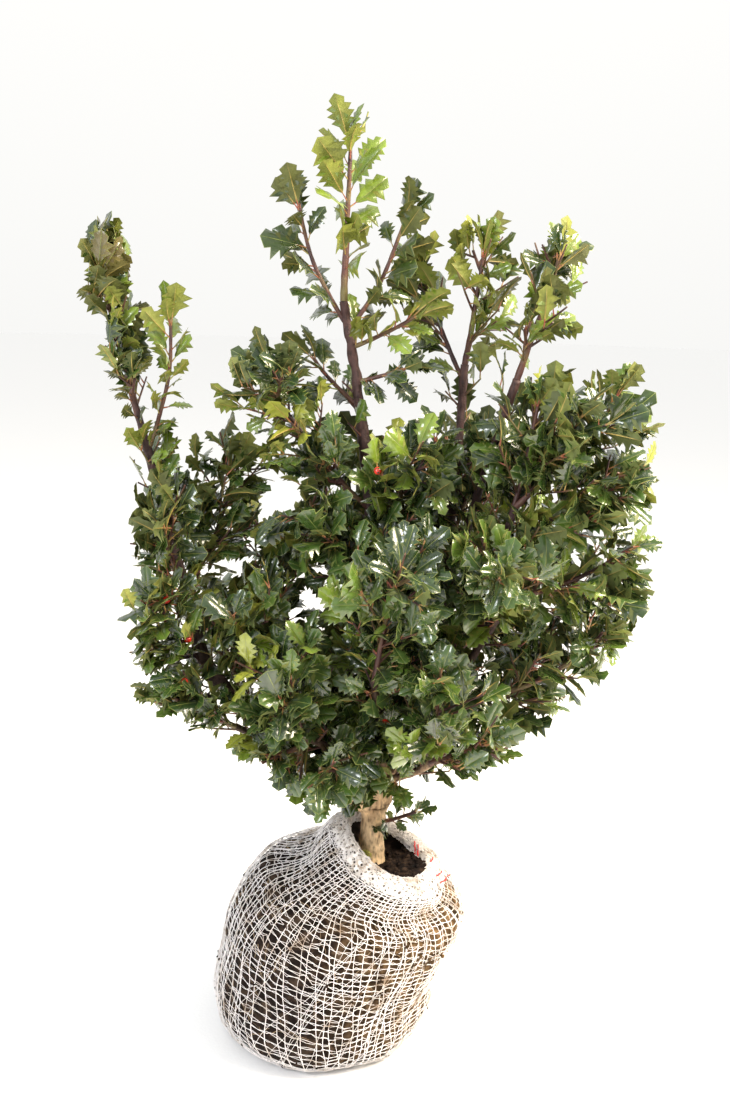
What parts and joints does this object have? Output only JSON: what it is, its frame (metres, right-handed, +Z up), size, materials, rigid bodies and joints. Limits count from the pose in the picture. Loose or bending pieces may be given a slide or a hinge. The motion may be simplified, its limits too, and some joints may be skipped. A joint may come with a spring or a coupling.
{
  "type": "holly tree",
  "caption": "Young bushy holly with several stems and glossy spined leaves, lifted with its soil root ball in a knitted net.",
  "frame": {"origin": "a point on the flat underside of the root ball, near its middle", "axes": "+Z up along the plant, +X to the right seen from the front, +Y to the back"},
  "size_m": [0.5285, 0.3263, 0.8609],
  "materials": {
    "soil": "matt",
    "net": "matt",
    "bark": "matt",
    "stem": "satin",
    "leaf": "glossy"
  },
  "bodies": {
    "root": {"root_ball": "soil", "trunk": "bark", "leader": "stem", "left_stem": "stem", "left_shoot": "stem", "right_stem": "stem", "right_inner_shoot": "stem", "right_outer_shoot": "stem", "right_high_bough": "stem", "right_mid_bough": "stem", "right_low_bough": "stem", "front_right_bough": "stem", "front_left_bough": "stem", "front_bough": "stem", "left_low_bough": "stem", "back_left_bough": "stem", "back_right_bough": "stem", "back_bough": "stem", "net_collar": "net", "top_shoot": "leaf", "top_left_shoot": "leaf", "top_right_shoot": "leaf", "upper_right_twig": "leaf", "mid_right_twig": "leaf", "mid_left_twig": "leaf", "high_left_spray": "leaf", "centre_left_spray": "leaf", "centre_right_spray": "leaf", "right_centre_spray": "leaf", "right_inner_top": "leaf", "right_inner_left_spray": "leaf", "right_outer_top": "leaf", "right_top_spray": "leaf", "right_high_spray": "leaf", "right_far_spray": "leaf", "right_mid_spray": "leaf", "right_front_spray": "leaf", "right_low_spray": "leaf", "right_under_spray": "leaf", "front_right_spray": "leaf", "front_right_high_spray": "leaf", "front_low_spray": "leaf", "front_left_low_spray": "leaf", "front_left_spray": "leaf", "front_high_spray": "leaf", "left_low_spray": "leaf", "left_outer_spray": "leaf", "left_inner_spray": "leaf", "left_inner_low_spray": "leaf", "left_shoot_spray": "leaf", "left_rear_spray": "leaf", "left_shoot_top": "leaf", "left_shoot_twig": "leaf", "back_left_low_spray": "leaf", "back_left_high_spray": "leaf", "back_low_spray": "leaf", "back_high_spray": "leaf", "back_right_low_spray": "leaf", "back_right_high_spray": "leaf", "trunk_twig": "leaf"}
  },
  "joints": []
}
